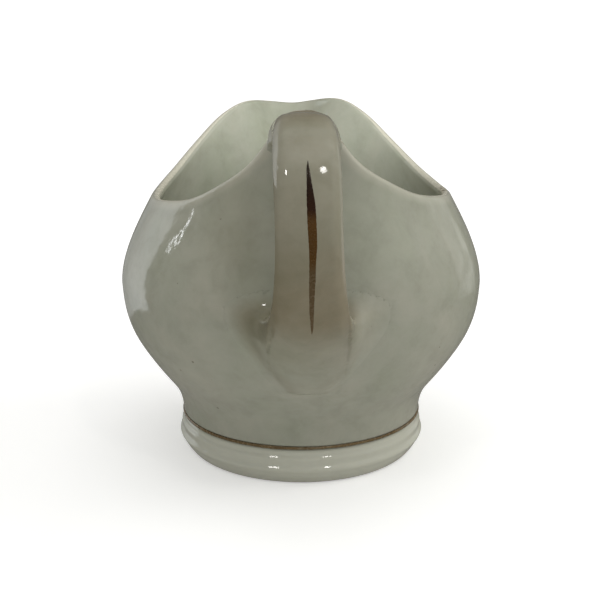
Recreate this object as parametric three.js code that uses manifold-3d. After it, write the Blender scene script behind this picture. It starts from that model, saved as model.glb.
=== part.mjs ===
// Porcelain cream jug, in millimetres.  +Z up, pouring lip towards +Y, handle towards -Y.
// The origin is the middle of the jug's footprint on the table, halfway between the end of the lip and the back of
// the handle; the axis of the bowl and foot stands SHIFT_Y in front of it.
//
// The jug is built as a potter builds it: a slip-cast bowl, a turned foot ring stuck under it, a cast strap
// handle stuck to the rim and to the belly, the thin slip pads that hold those joints, and the fired gilding.
import * as THREE from "three";
import { mergeVertices } from "three/addons/utils/BufferGeometryUtils.js";
import Module from "manifold-3d";

const wasm = await Module();
wasm.setup();

// ---------------------------------------------------------------- driving dimensions
const BELLY_R = 45.0; // largest radius of the bowl
const BELLY_Z = 44.0; // height of that radius above the table
const FOOT_JOINT_Z = 9.6; // underside of the bowl where the foot ring is stuck on
const WALL_T = 2.6; // wall thickness of the bowl
const LUTE_T = 0.5; // slip pad between two pieces
const GAP = 0.08; // clearance that keeps neighbouring solids apart
const GILT_T = 0.22; // thickness given to the gilding
const FLOOR_Z = 12.3; // inside floor of the bowl at its middle
const REAR_TURN = 1.0; // the handle and the rim under it are turned this many degrees towards -X
const LIP_TURN = 0.8; // the lip is turned this many degrees towards -X
const SHIFT_Y = 3.2; // the foot's axis stands this far towards +Y of the middle of the whole jug

// Outer profile of the bowl below the belly: height, radius.
const LOWER = [
  [9.6, 31.0], [10.4, 30.93], [11.5, 30.97], [14, 31.45], [17, 32.7], [21, 35.6],
  [26, 39.15], [32, 42.6], [38, 44.45], [44, 45.0],
];
// The rim: angle from the lip in degrees, radius, height, and how fast the wall flares there (mm per mm).
const RIM = [
  [0, 58.0, 84.7, 1.0], [7, 56.5, 85.55, 0.86], [14.5, 50.3, 86.5, 0.52], [20, 47.1, 86.0, 0.36],
  [26, 44.6, 84.3, 0.2], [32, 42.8, 81.9, 0.1], [40, 41.1, 78.1, -0.05], [50, 39.6, 73.8, -0.2],
  [60, 38.4, 70.4, -0.33], [70, 37.7, 68.0, -0.43], [80, 37.2, 66.5, -0.5], [90, 36.8, 65.9, -0.55],
  [105, 36.4, 65.7, -0.55], [120, 36.2, 66.3, -0.5], [135, 36.1, 67.6, -0.38], [142, 36.3, 69.0, -0.3],
  [149, 36.6, 70.9, -0.2], [154, 37.0, 72.4, -0.12], [158.6, 37.4, 74.1, -0.05], [162.8, 37.8, 76.2, 0.03],
  [166.2, 38.1, 78.4, 0.1], [168.8, 38.3, 80.7, 0.15], [171.2, 38.5, 83.4, 0.2], [173.8, 38.7, 84.9, 0.22],
  [177, 38.8, 85.8, 0.25], [180, 38.8, 86.0, 0.25],
];
// How far the kiln lifted the rim on the +X side, and dropped it on the -X side: angle from the lip, height.
const WARP = [[0, 0], [14, 0.3], [30, 0], [50, -0.25], [70, -0.1], [90, 0.3], [120, 0.45], [140, 0.42], [155, 0.25], [168, 0], [180, 0]];
// Inside of the bowl below the straight offset of its wall: radius, height, from the wall to the axis.
const BOWL = [[29.4, 18.8], [26.4, 16.0], [21.5, 14.0], [14.5, 12.8], [7, 12.4], [0, FLOOR_Z]];
// Foot ring: radius, height, once round its section.
const FOOT = [
  [28.4, 0], [29.5, 0.55], [30.5, 1.9], [31.4, 3.4], [31.9, 4.9], [31.75, 6.4], [31.4, 7.8], [31.15, 8.9],
  [30.9, 9.05], [26.2, 9.05], [25.7, 7.0], [25.8, 3.0], [26.3, 0.8], [26.9, 0],
];
// Middle line of the handle, from inside the rim to inside the belly: y, z, thickness, half width, and how far it
// leans towards -X.
const STRAP = [
  [-34.5, 80.7, 6.0, 6.9, 0.9], [-38.6, 82.3, 5.8, 6.5, 0.95], [-43.2, 83.4, 5.4, 6.15, 1.0],
  [-48.8, 82.7, 5.1, 6.2, 1.0], [-54.4, 79.4, 4.9, 6.35, 0.95], [-58.7, 73.1, 4.8, 6.35, 0.85],
  [-60.8, 65.0, 4.8, 6.3, 0.7], [-61.0, 56.8, 5.0, 6.6, 0.55], [-59.1, 49.5, 5.4, 7.4, 0.4],
  [-55.4, 44.5, 5.6, 8.6, 0.3], [-50.5, 40.4, 5.4, 9.6, 0.2], [-45.65, 35.6, 4.8, 8.8, 0.1],
  [-42.0, 31.3, 3.8, 6.8, 0], [-39.8, 28.2, 2.8, 3.8, 0],
];
// Gilt brush stroke on the back of the handle: height, half width.
const STROKE = [[77.6, 0.1], [75, 0.36], [71.5, 0.58], [67, 0.78], [62.5, 0.76], [58, 0.6], [54, 0.58], [50.5, 0.42], [47.5, 0.22], [45.4, 0.08]];

// ---------------------------------------------------------------- small maths
// Natural cubic spline through the points, straight beyond its ends.
function spline(xs, ys, flatEnds = false) {
  const n = xs.length, a = new Array(n).fill(0), b = new Array(n).fill(1), c = new Array(n).fill(0), d = new Array(n).fill(0);
  for (let i = 1; i < n - 1; i++) {
    const h0 = xs[i] - xs[i - 1], h1 = xs[i + 1] - xs[i];
    a[i] = h0; b[i] = 2 * (h0 + h1); c[i] = h1;
    d[i] = 6 * ((ys[i + 1] - ys[i]) / h1 - (ys[i] - ys[i - 1]) / h0);
  }
  if (flatEnds) {
    const h = xs[1] - xs[0], g = xs[n - 1] - xs[n - 2];
    b[0] = 2 * h; c[0] = h; d[0] = (6 * (ys[1] - ys[0])) / h;
    a[n - 1] = g; b[n - 1] = 2 * g; d[n - 1] = (-6 * (ys[n - 1] - ys[n - 2])) / g;
  }
  for (let i = 1; i < n; i++) {
    const w = a[i] / b[i - 1];
    b[i] -= w * c[i - 1]; d[i] -= w * d[i - 1];
  }
  const m = new Array(n);
  m[n - 1] = d[n - 1] / b[n - 1];
  for (let i = n - 2; i >= 0; i--) m[i] = (d[i] - c[i] * m[i + 1]) / b[i];
  return (x) => {
    let i = 0;
    while (i < n - 2 && x > xs[i + 1]) i++;
    const h = xs[i + 1] - xs[i];
    if (x < xs[0]) return ys[0] + (x - xs[0]) * ((ys[1] - ys[0]) / h - (h * (2 * m[0] + m[1])) / 6);
    if (x > xs[n - 1]) return ys[n - 1] + (x - xs[n - 1]) * ((ys[n - 1] - ys[n - 2]) / h + (h * (m[n - 2] + 2 * m[n - 1])) / 6);
    const t = xs[i + 1] - x, s = x - xs[i];
    return (m[i] * t ** 3 + m[i + 1] * s ** 3) / (6 * h) + (ys[i] / h - (m[i] * h) / 6) * t + (ys[i + 1] / h - (m[i + 1] * h) / 6) * s;
  };
}
const col = (rows, k) => rows.map((r) => r[k]);
const lowerR = spline(col(LOWER, 0), col(LOWER, 1));
const rimR = spline(col(RIM, 0), col(RIM, 1), true);
const rimLevel = spline(col(RIM, 0), col(RIM, 2), true), warp = spline(col(WARP, 0), col(WARP, 1), true);
const rimFlare = spline(col(RIM, 0), col(RIM, 3), true);
const ease = (t) => { const u = Math.min(1, Math.max(0, t)); return u * u * (3 - 2 * u); };
// Angle from the lip, signed: positive on the +X side.
function signed(deg) {
  let a = ((deg % 360) + 360) % 360;
  a -= REAR_TURN * ease((a - 110) / 45) * ease((250 - a) / 45);
  if (a > 180) a -= 360;
  return a + LIP_TURN * ease((80 - Math.abs(a)) / 45);
}
const side = (deg) => Math.abs(signed(deg));

const rimZ = (deg) => rimLevel(side(deg)) + Math.sign(signed(deg)) * warp(side(deg)); // height of the rim

// Radius of the bowl's outside at an angle and height; above the rim it goes on straight.
function wallR(deg, z) {
  if (z <= BELLY_Z) return lowerR(z);
  const s = side(deg), top = rimZ(deg), R = rimR(s), H = top - BELLY_Z, m = rimFlare(s) * H;
  if (z > top) return R + Math.max(-0.5, Math.min(0.6, rimFlare(s))) * (z - top);
  const v = (z - BELLY_Z) / H;
  return BELLY_R * (2 * v ** 3 - 3 * v ** 2 + 1) + R * (3 * v ** 2 - 2 * v ** 3) + m * (v ** 3 - v ** 2);
}
const point = (deg, r, z) => new THREE.Vector3(r * Math.sin((deg * Math.PI) / 180), r * Math.cos((deg * Math.PI) / 180), z);
// Point of the outside surface moved along its normal by off (inwards when negative).
function wallPoint(deg, z, off) {
  const p = point(deg, wallR(deg, z), z), e = 0.25;
  const da = point(deg + e, wallR(deg + e, z), z).sub(point(deg - e, wallR(deg - e, z), z));
  const dz = point(deg, wallR(deg, z + e), z + e).sub(point(deg, wallR(deg, z - e), z - e));
  const n = dz.cross(da).normalize();
  if (n.dot(new THREE.Vector3(p.x, p.y, 0)) < 0) n.negate();
  return p.addScaledVector(n, off);
}

// Angles round the jug, closer together at the lip and beside the handle, where the rim turns fast.
const STOPS = [0, 3, 6, 9, 12, 15.5, 19, 23, 27.5, 33, 39, 46, 54, 62, 70, 80, 90, 100, 110, 120, 129, 137, 144, 150, 155, 159.5, 163, 166, 168.6, 171, 173.6, 176.8, 180];
const ANGLES = [...STOPS, ...STOPS.slice(1, -1).reverse().map((a) => 360 - a)];
const N = ANGLES.length;

// A closed surface from a LatheGeometry whose every vertex is put where at(profileIndex, angle) says.
function lathed(count, axisStart, axisEnd, at) {
  const profile = Array.from({ length: count }, (_, i) => new THREE.Vector2((axisStart && i === 0) || (axisEnd && i === count - 1) ? 0 : 10 + i * 0.01, i));
  const g = new THREE.LatheGeometry(profile, N);
  const p = g.getAttribute("position");
  for (let k = 0; k <= N; k++)
    for (let i = 0; i < count; i++) {
      const q = at(i, ANGLES[k % N]);
      p.setXYZ(k * count + i, q.x, q.y, q.z);
    }
  return g;
}

// ---------------------------------------------------------------- manifold helpers
function solid(geometry) {
  const g = geometry.clone();
  g.deleteAttribute("normal");
  g.deleteAttribute("uv");
  const m = mergeVertices(g, 1e-3);
  const tri = new Uint32Array(m.index.array);
  const make = (t) => new wasm.Manifold(new wasm.Mesh({ numProp: 3, vertProperties: new Float32Array(m.getAttribute("position").array), triVerts: t }));
  let s = make(tri);
  if (s.volume() < 0) {
    for (let i = 0; i < tri.length; i += 3) [tri[i + 1], tri[i + 2]] = [tri[i + 2], tri[i + 1]];
    s = make(tri);
  }
  return s;
}
function geometryOf(s) {
  const m = s.getMesh();
  const v = new Float32Array(m.numVert * 3);
  for (let i = 0; i < m.numVert; i++) v.set(m.vertProperties.subarray(i * m.numProp, i * m.numProp + 3), i * 3);
  const g = new THREE.BufferGeometry();
  g.setAttribute("position", new THREE.BufferAttribute(v, 3));
  g.setIndex(new THREE.BufferAttribute(new Uint32Array(m.triVerts), 1));
  g.computeVertexNormals();
  return g;
}
const largest = (s) => s.decompose().sort((a, b) => b.volume() - a.volume())[0];

// ---------------------------------------------------------------- bowl
const UP = [0.11, 0.23, 0.36, 0.49, 0.62, 0.74, 0.86]; // rows of the wall between belly and rim
function bowlGeometry() {
  const rows = [];
  const ring = (r, z) => rows.push((deg) => point(deg, r, z));
  ring(0, 8.9); ring(13, 8.9); ring(24.9, 8.9); ring(25.6, FOOT_JOINT_Z);
  for (const [z] of LOWER) rows.push((deg) => point(deg, lowerR(z), z));
  for (const v of UP) rows.push((deg) => wallPoint(deg, BELLY_Z + v * (rimZ(deg) - BELLY_Z), 0));
  const lip = (drop, off) => rows.push((deg) => wallPoint(deg, rimZ(deg) - drop, -off));
  lip(1.0, 0); lip(0.28, 0.28); lip(0, WALL_T * 0.5); lip(0.28, WALL_T - 0.28); lip(1.0, WALL_T);
  for (const v of [0.84, 0.7, 0.55, 0.4, 0.24, 0.08]) rows.push((deg) => wallPoint(deg, BELLY_Z + v * (rimZ(deg) - BELLY_Z), -WALL_T));
  for (const z of [40, 34, 28.5, 23.5]) rows.push((deg) => wallPoint(deg, z, -WALL_T - (44 - z) * 0.02));
  for (const [r, z] of BOWL) ring(r, z);
  return lathed(rows.length, true, true, (i, deg) => rows[i](deg));
}
// The filled bowl, grown by off and carried on above its rim: what the handle is cut back to.
function filledBowl(off) {
  const rows = [];
  for (const [z] of LOWER.slice(2)) rows.push((deg) => wallPoint(deg, z, off));
  for (const v of UP) rows.push((deg) => wallPoint(deg, BELLY_Z + v * (rimZ(deg) - BELLY_Z), off));
  for (const drop of [1.0, 0, -3, -8]) rows.push((deg) => wallPoint(deg, rimZ(deg) - drop, off));
  return solid(lathed(rows.length + 2, true, true, (i, deg) => {
    if (i === 0) return new THREE.Vector3(0, 0, LOWER[2][0]);
    if (i === rows.length + 1) return new THREE.Vector3(0, 0, 96);
    return rows[i - 1](deg);
  }));
}

// ---------------------------------------------------------------- handle
const along = STRAP.map((_, i) => i);
const strapY = spline(along, col(STRAP, 0)), strapZ = spline(along, col(STRAP, 1));
const strapT = spline(along, col(STRAP, 2)), strapW = spline(along, col(STRAP, 3)), strapLean = spline(along, col(STRAP, 4));
const POWER = 2.6; // 2 is an ellipse; more is squarer
// A point of the strap's section at s: round is the angle about its middle line, 0 at the side, 90 degrees on the back.
function strapPoint(s, round, scale = 1, lift = 0) {
  const e = 0.02;
  const ty = strapY(s + e) - strapY(s - e), tz = strapZ(s + e) - strapZ(s - e), l = Math.hypot(ty, tz);
  const ny = tz / l, nz = -ty / l; // outwards: away from the finger space
  const out = (v) => Math.sign(v) * Math.abs(v) ** (2 / POWER);
  const x = strapW(s) * out(Math.cos(round)) * scale;
  const n = (strapT(s) / 2) * out(Math.sin(round)) * scale + lift;
  return new THREE.Vector3(x - strapLean(s), strapY(s) + n * ny, strapZ(s) + n * nz);
}
function strapOutward() { // which way the normal points at the middle of the strap
  const s = 6.5, a = strapPoint(s, Math.PI / 2), b = strapPoint(s, -Math.PI / 2);
  return a.y < b.y ? 1 : -1;
}
const OUT = strapOutward();
function strapGeometry() {
  const last = STRAP.length - 1, g = new THREE.CylinderGeometry(1, 1, 1, 20, 40, false);
  const p = g.getAttribute("position");
  for (let i = 0; i < p.count; i++) {
    const x = p.getX(i), y = p.getY(i), z = p.getZ(i), r = Math.min(1, Math.hypot(x, z));
    const q = strapPoint((0.5 - y) * last, Math.atan2(z, x) * OUT, r < 0.5 ? 0 : 1);
    p.setXYZ(i, q.x, q.y, q.z);
  }
  return g;
}
const strap = solid(strapGeometry());
const nearBelly = solid(new THREE.BoxGeometry(60, 60, 40).translate(0, -45, 32));
const nearRim = solid(new THREE.BoxGeometry(60, 60, 30).translate(0, -45, 85));
const handle = largest(strap.subtract(filledBowl(LUTE_T + 2 * GAP)));
const padShell = filledBowl(LUTE_T + GAP).subtract(filledBowl(GAP));
const pads = strap.intersect(padShell);
const lowerPad = largest(pads.intersect(nearBelly));
const upperPad = largest(pads.intersect(nearRim));

// ---------------------------------------------------------------- gilding
// The stroke: a thin strip that lies on the back of the strap and tapers to both ends.
function heightToStation(z) {
  let best = 5, err = 1e9;
  for (let s = 3; s <= 11; s += 0.01) {
    const q = strapPoint(s, (Math.PI / 2) * OUT);
    if (Math.abs(q.z - z) < err) { err = Math.abs(q.z - z); best = s; }
  }
  return best;
}
function strokeGeometry() {
  const stations = STROKE.map(([z, w]) => [heightToStation(z), w]);
  const at = spline(stations.map((_, i) => i), col(stations, 0)), wide = spline(stations.map((_, i) => i), col(stations, 1));
  const g = new THREE.BoxGeometry(1, 1, 1, 2, 1, 26), p = g.getAttribute("position");
  for (let i = 0; i < p.count; i++) {
    const u = (p.getZ(i) + 0.5) * (stations.length - 1), x = p.getX(i) * 2 * Math.max(0.06, wide(u));
    const lift = 0.05 + (p.getY(i) > 0 ? GILT_T : 0);
    const s = at(u), base = strapPoint(s, (Math.PI / 2) * OUT, 1, OUT * lift);
    p.setXYZ(i, x - strapLean(s), base.y, base.z);
  }
  return g;
}
// A thin closed band: at(angle, corner) gives the four corners of its section.
function bandGeometry(at) {
  const g = new THREE.LatheGeometry([0, 1, 2, 3, 0].map((_, i) => new THREE.Vector2(10 + (i % 4 === 1 || i % 4 === 2 ? 1 : 0), i % 4 < 2 ? 0 : 1)), N);
  const p = g.getAttribute("position");
  for (let k = 0; k <= N; k++) for (let i = 0; i < 5; i++) {
    const q = at(ANGLES[k % N], i % 4);
    p.setXYZ(k * 5 + i, q.x, q.y, q.z);
  }
  return g;
}
const footLine = bandGeometry((deg, c) => point(deg, c === 1 || c === 2 ? 31.14 + GILT_T : 31.14, c < 2 ? 9.14 : 9.86));
const rimLine = bandGeometry((deg, c) => {
  const z = rimZ(deg), top = wallPoint(deg, z, -WALL_T * 0.5);
  const across = wallPoint(deg, z, -WALL_T * 0.5 + 0.5).sub(top);
  const q = top.clone().addScaledVector(across, c === 1 || c === 2 ? 0.8 : -0.8);
  q.z += 0.1 + (c < 2 ? 0 : GILT_T);
  return q;
});

// ---------------------------------------------------------------- the jug
const glaze = (hex) => new THREE.MeshStandardMaterial({ color: hex, roughness: 0.14, metalness: 0 });
const slip = () => new THREE.MeshStandardMaterial({ color: 0xb9b6a6, roughness: 0.35, metalness: 0 });
const gilt = () => new THREE.MeshStandardMaterial({ color: 0x6b4a1c, roughness: 0.28, metalness: 0.9 });

const jug = new THREE.Group();
function add(name, geometry, material) {
  geometry.translate(0, SHIFT_Y, 0);
  const mesh = new THREE.Mesh(geometry, material);
  mesh.name = name;
  jug.add(mesh);
}
add("bowl_with_lip", geometryOf(solid(bowlGeometry())), glaze(0xb4b6a8));
const footProfile = [...FOOT, FOOT[0]].map(([r, z]) => [r, z]);
add("foot_ring", geometryOf(solid(lathed(footProfile.length, false, false, (i, deg) => point(deg, footProfile[i][0], footProfile[i][1])))), glaze(0xb8baab));
add("foot_slip_joint", geometryOf(solid(bandGeometry((deg, c) => point(deg, c === 1 || c === 2 ? 30.7 : 26.3, c < 2 ? 9.09 : 9.55)))), slip());
add("strap_handle", geometryOf(handle), glaze(0xa9a89a));
add("handle_rim_slip_joint", geometryOf(upperPad), slip());
add("handle_belly_slip_joint", geometryOf(lowerPad), slip());
add("gilt_handle_stroke", geometryOf(solid(strokeGeometry())), gilt());
add("gilt_foot_line", geometryOf(solid(footLine)), gilt());
add("gilt_rim_line", geometryOf(solid(rimLine)), gilt());

export default jug;
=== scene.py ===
import math

import bpy
import numpy as np
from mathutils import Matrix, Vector


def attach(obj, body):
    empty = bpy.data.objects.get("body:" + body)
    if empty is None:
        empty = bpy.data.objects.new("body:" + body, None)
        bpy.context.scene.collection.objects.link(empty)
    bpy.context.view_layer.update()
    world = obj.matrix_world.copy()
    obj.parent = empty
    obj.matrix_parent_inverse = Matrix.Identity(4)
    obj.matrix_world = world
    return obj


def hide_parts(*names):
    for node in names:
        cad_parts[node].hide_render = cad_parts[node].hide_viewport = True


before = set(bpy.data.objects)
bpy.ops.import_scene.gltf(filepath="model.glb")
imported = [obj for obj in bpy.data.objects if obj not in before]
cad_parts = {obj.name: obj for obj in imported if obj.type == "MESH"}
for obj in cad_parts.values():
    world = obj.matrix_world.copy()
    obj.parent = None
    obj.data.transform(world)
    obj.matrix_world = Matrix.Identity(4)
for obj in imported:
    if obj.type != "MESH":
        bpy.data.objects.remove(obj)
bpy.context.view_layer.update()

# ------------------------------------------------------------------ sizes, in millimetres about the axis of the bowl
SHIFT_Y = 3.2          # the axis of the bowl stands here in the row frame
WALL = 2.5             # wall thickness
BELLY_Z = 44.0
REAR_TURN, LIP_TURN = 1.0, 0.8
SKIN = -0.05           # keeps the fine surface inside the CAD solids' box

LOWER = [(9.6, 31.0), (10.4, 30.93), (11.5, 30.97), (14, 31.45), (17, 32.7), (21, 35.6), (26, 39.15), (32, 42.6),
         (38, 44.45), (44, 45.0)]
RIM = [(0, 58.0, 84.7, 1.0), (7, 56.5, 85.55, 0.86), (14.5, 50.3, 86.5, 0.52), (20, 47.1, 86.0, 0.36),
       (26, 44.6, 84.3, 0.2), (32, 42.8, 81.9, 0.1), (40, 41.1, 78.1, -0.05), (50, 39.6, 73.8, -0.2),
       (60, 38.4, 70.4, -0.33), (70, 37.7, 68.0, -0.43), (80, 37.2, 66.5, -0.5), (90, 36.8, 65.9, -0.55),
       (105, 36.4, 65.7, -0.55), (120, 36.2, 66.3, -0.5), (135, 36.1, 67.6, -0.38), (142, 36.3, 69.0, -0.3),
       (149, 36.6, 70.9, -0.2), (154, 37.0, 72.4, -0.12), (158.6, 37.4, 74.1, -0.05), (162.8, 37.8, 76.2, 0.03),
       (166.2, 38.1, 78.4, 0.1), (168.8, 38.3, 80.7, 0.15), (171.2, 38.5, 83.4, 0.2), (173.8, 38.7, 84.9, 0.22),
       (177, 38.8, 85.8, 0.25), (180, 38.8, 86.0, 0.25)]
WARP = [(0, 0), (14, 0.3), (30, 0), (50, -0.25), (70, -0.1), (90, 0.3), (120, 0.45), (140, 0.42), (155, 0.25),
        (168, 0), (180, 0)]
INSIDE = [(29.6, 19.0), (26.6, 16.2), (21.6, 14.1), (14.6, 12.9), (7.0, 12.45), (0.0, 12.35)]
FOOT = [(28.55, 0.0), (29.3, 0.22), (30.0, 0.95), (30.7, 1.95), (31.42, 3.2), (31.78, 3.85), (31.86, 4.2), (31.8, 4.45),
        (31.68, 4.62), (31.5, 4.84), (31.32, 5.07), (31.24, 5.35), (31.25, 5.8), (31.33, 6.4), (31.34, 6.75), (31.24, 7.02),
        (31.06, 7.25), (30.88, 7.48), (30.8, 7.75), (30.78, 8.2), (30.7, 8.65), (30.5, 9.0), (30.15, 9.15), (29.6, 9.2)]
FOOT_INNER = [(25.2, 9.2), (24.1, 9.02), (23.9, 8.86), (24.3, 8.78), (25.05, 8.4), (25.6, 7.4), (25.75, 5.5),
              (25.85, 3.0), (26.15, 1.3), (26.55, 0.35), (27.05, 0.0)]
# the strap's middle line: y, z, thickness, half width, lean towards -X
STRAP = [(-37.4, 81.7, 6.0, 6.6, 0.9), (-39.4, 82.6, 5.9, 6.45, 0.95), (-43.2, 83.4, 5.4, 6.15, 1.0),
         (-48.8, 82.7, 5.1, 6.2, 1.0), (-54.4, 79.4, 4.9, 6.35, 0.95), (-58.7, 73.1, 4.8, 6.35, 0.85),
         (-60.8, 65.0, 4.8, 6.3, 0.7), (-61.0, 56.8, 5.0, 6.6, 0.55), (-59.1, 49.5, 5.4, 7.4, 0.4),
         (-55.4, 44.5, 5.6, 8.6, 0.3), (-50.5, 40.4, 5.4, 9.6, 0.2), (-45.65, 35.6, 4.6, 8.8, 0.1),
         (-42.0, 31.3, 3.4, 6.8, 0.0), (-39.8, 28.2, 2.2, 3.8, 0.0)]
# the gilt brush stroke on the back of the strap: height, left edge and right edge off the strap's middle
STROKE = [(77.9, -0.05, 0.03), (77.2, -0.2, 0.14), (76.2, -0.33, 0.3), (75.0, -0.36, 0.46), (73.6, -0.38, 0.66),
          (72.5, -0.42, 0.82), (71.5, -0.45, 0.97), (70.3, -0.44, 1.1), (68.8, -0.42, 1.2), (67.3, -0.41, 1.25),
          (65.7, -0.35, 1.27), (64.1, -0.3, 1.28), (62.6, -0.24, 1.24), (61.2, -0.2, 1.12), (59.7, -0.2, 1.0),
          (58.0, -0.25, 0.96), (56.3, -0.32, 0.9), (54.6, -0.37, 0.83), (52.8, -0.37, 0.73), (51.0, -0.35, 0.65),
          (49.3, -0.26, 0.58), (47.8, -0.12, 0.54), (46.6, -0.02, 0.48), (45.8, 0.1, 0.38), (45.3, 0.2, 0.27)]


# ------------------------------------------------------------------ small maths
class Spline:
    """Cubic spline through the points, straight beyond its ends."""

    def __init__(self, xs, ys, flat=False):
        x, y = np.asarray(xs, float), np.asarray(ys, float)
        n = len(x)
        A, d = np.eye(n), np.zeros(n)
        for i in range(1, n - 1):
            h0, h1 = x[i] - x[i - 1], x[i + 1] - x[i]
            A[i, i - 1], A[i, i], A[i, i + 1] = h0, 2 * (h0 + h1), h1
            d[i] = 6 * ((y[i + 1] - y[i]) / h1 - (y[i] - y[i - 1]) / h0)
        if flat:
            h, g = x[1] - x[0], x[-1] - x[-2]
            A[0, 0], A[0, 1], d[0] = 2 * h, h, 6 * (y[1] - y[0]) / h
            A[-1, -1], A[-1, -2], d[-1] = 2 * g, g, -6 * (y[-1] - y[-2]) / g
        self.x, self.y, self.m = x, y, np.linalg.solve(A, d)

    def __call__(self, v):
        v = np.asarray(v, float)
        x, y, m = self.x, self.y, self.m
        i = np.clip(np.searchsorted(x, v) - 1, 0, len(x) - 2)
        h = x[i + 1] - x[i]
        c = np.clip(v, x[0], x[-1])
        t, s = x[i + 1] - c, c - x[i]
        out = (m[i] * t**3 + m[i + 1] * s**3) / (6 * h) + (y[i] / h - m[i] * h / 6) * t + (y[i + 1] / h - m[i + 1] * h / 6) * s
        lo = (y[1] - y[0]) / (x[1] - x[0]) - (x[1] - x[0]) * (2 * m[0] + m[1]) / 6
        hi = (y[-1] - y[-2]) / (x[-1] - x[-2]) + (x[-1] - x[-2]) * (m[-2] + 2 * m[-1]) / 6
        return out + lo * np.minimum(v - x[0], 0) + hi * np.maximum(v - x[-1], 0)


def column(rows, k):
    return [r[k] for r in rows]


def ease(t):
    t = np.clip(t, 0, 1)
    return t * t * (3 - 2 * t)


lower_r = Spline(column(LOWER, 0), column(LOWER, 1))
rim_r = Spline(column(RIM, 0), column(RIM, 1), True)
rim_level = Spline(column(RIM, 0), column(RIM, 2), True)
rim_flare = Spline(column(RIM, 0), column(RIM, 3), True)
warp = Spline(column(WARP, 0), column(WARP, 1), True)


def signed(deg):
    """Angle from the lip, positive on the +X side."""
    a = np.mod(deg, 360.0)
    a = a - REAR_TURN * ease((a - 110) / 45) * ease((250 - a) / 45)
    a = np.where(a > 180, a - 360, a)
    return a + LIP_TURN * ease((80 - np.abs(a)) / 45)


def rim_z(deg):
    a = signed(deg)
    return rim_level(np.abs(a)) + np.sign(a) * warp(np.abs(a))


def wall_r(deg, z):
    """Radius of the outside of the bowl; above the rim it goes on straight."""
    s, top = np.abs(signed(deg)), rim_z(deg)
    R, f, H = rim_r(s), rim_flare(s), top - BELLY_Z
    v = np.clip((z - BELLY_Z) / H, 0, 1)
    up = 45.0 * (2 * v**3 - 3 * v**2 + 1) + R * (3 * v**2 - 2 * v**3) + f * H * (v**3 - v**2)
    over = R + np.clip(f, -0.5, 0.6) * (z - top)
    return np.where(z <= BELLY_Z, lower_r(np.minimum(z, BELLY_Z)), np.where(z > top, over, up)) + SKIN


def rim_slope(deg):
    """Cosine of the rim's climb at an angle."""
    e = 0.3
    r = rim_r(np.abs(signed(deg)))
    dz = (rim_z(deg + e) - rim_z(deg - e)) / (2 * math.radians(e))
    dr = (rim_r(np.abs(signed(deg + e))) - rim_r(np.abs(signed(deg - e)))) / (2 * math.radians(e))
    flat = np.sqrt(r * r + dr * dr)
    return flat / np.sqrt(flat * flat + dz * dz)


def wall_point(deg, z, off=0.0):
    """Points of the outside surface moved along its normal by off, about the bowl's axis."""
    def at(a, h):
        t = np.radians(a)
        r = wall_r(a, h)
        return np.stack([r * np.sin(t), r * np.cos(t), h + 0 * r], -1)
    e = 0.25
    da, dz = at(deg + e, z) - at(deg - e, z), at(deg, z + e) - at(deg, z - e)
    n = np.cross(dz, da)
    n /= np.linalg.norm(n, axis=-1, keepdims=True)
    p = at(deg, z)
    n *= np.sign(n[..., :1] * p[..., :1] + n[..., 1:2] * p[..., 1:2])
    return p + n * np.asarray(off)[..., None]


rng = np.random.default_rng(7)
WAVES = [(rng.normal(size=3), rng.uniform(0, 2 * math.pi), w) for w in (34, 30, 27, 24, 21, 19, 17, 15, 14, 13, 12, 11)]
WAVES = [(d / np.linalg.norm(d) * 2 * math.pi / w, ph, w) for d, ph, w in WAVES]


def unevenness(p):
    """The slow swell of a cast and hand-finished surface, in millimetres."""
    total = 0
    for k, ph, w in WAVES:
        total = total + np.sin(p @ k + ph) * (w / 34.0)
    fade = ease((p[..., 2] - 12) / 9)
    return total * 0.011 * fade - 0.03 * fade


# ------------------------------------------------------------------ distance fields, for the handle and its joints
def outer_field(p):
    """About the distance outside the outer wall, carried on above the rim."""
    rho, deg, z = np.hypot(p[..., 0], p[..., 1]), np.degrees(np.arctan2(p[..., 0], p[..., 1])), p[..., 2]
    e = 0.3
    R = wall_r(deg, z)
    Rz = (wall_r(deg, z + e) - wall_r(deg, z - e)) / (2 * e)
    Rt = (wall_r(deg + e, z) - wall_r(deg - e, z)) / (2 * math.radians(e)) / np.maximum(rho, 5)
    return (rho - R) / np.sqrt(1 + Rz**2 + Rt**2) - unevenness(p)


def shell_field(p, out):
    """The wall with its rounded rim."""
    deg = np.degrees(np.arctan2(p[..., 0], p[..., 1]))
    c = rim_slope(deg)
    a = out + WALL / 2
    b = (p[..., 2] - rim_z(deg)) * c + WALL / 2
    return np.where(b > 0, np.hypot(a, b), np.abs(a)) - WALL / 2


ALONG = np.arange(len(STRAP))
strap_line = [Spline(ALONG, column(STRAP, k)) for k in range(5)]
STATION = np.linspace(0, len(STRAP) - 1, 1041)
LINE = np.stack([s(STATION) for s in strap_line], -1)
_t = np.gradient(LINE[:, :2], axis=0)
_t /= np.linalg.norm(_t, axis=1, keepdims=True)
TANGENT = _t
NORMAL = np.stack([_t[:, 1], -_t[:, 0]], -1)
if NORMAL[520, 0] > 0:
    NORMAL = -NORMAL


def nearest_station(yz):
    out = np.empty(len(yz), int)
    for i in range(0, len(yz), 20000):
        q = yz[i:i + 20000]
        d = (q[:, None, 0] - LINE[None, ::4, 0]) ** 2 + (q[:, None, 1] - LINE[None, ::4, 1]) ** 2
        j = np.argmin(d, 1) * 4
        best, low = j.copy(), np.full(len(q), 1e9)
        for o in range(-4, 5):
            k = np.clip(j + o, 0, len(LINE) - 1)
            e = (q[:, 0] - LINE[k, 0]) ** 2 + (q[:, 1] - LINE[k, 1]) ** 2
            m = e < low
            low[m], best[m] = e[m], k[m]
        out[i:i + 20000] = best
    return out


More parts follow.
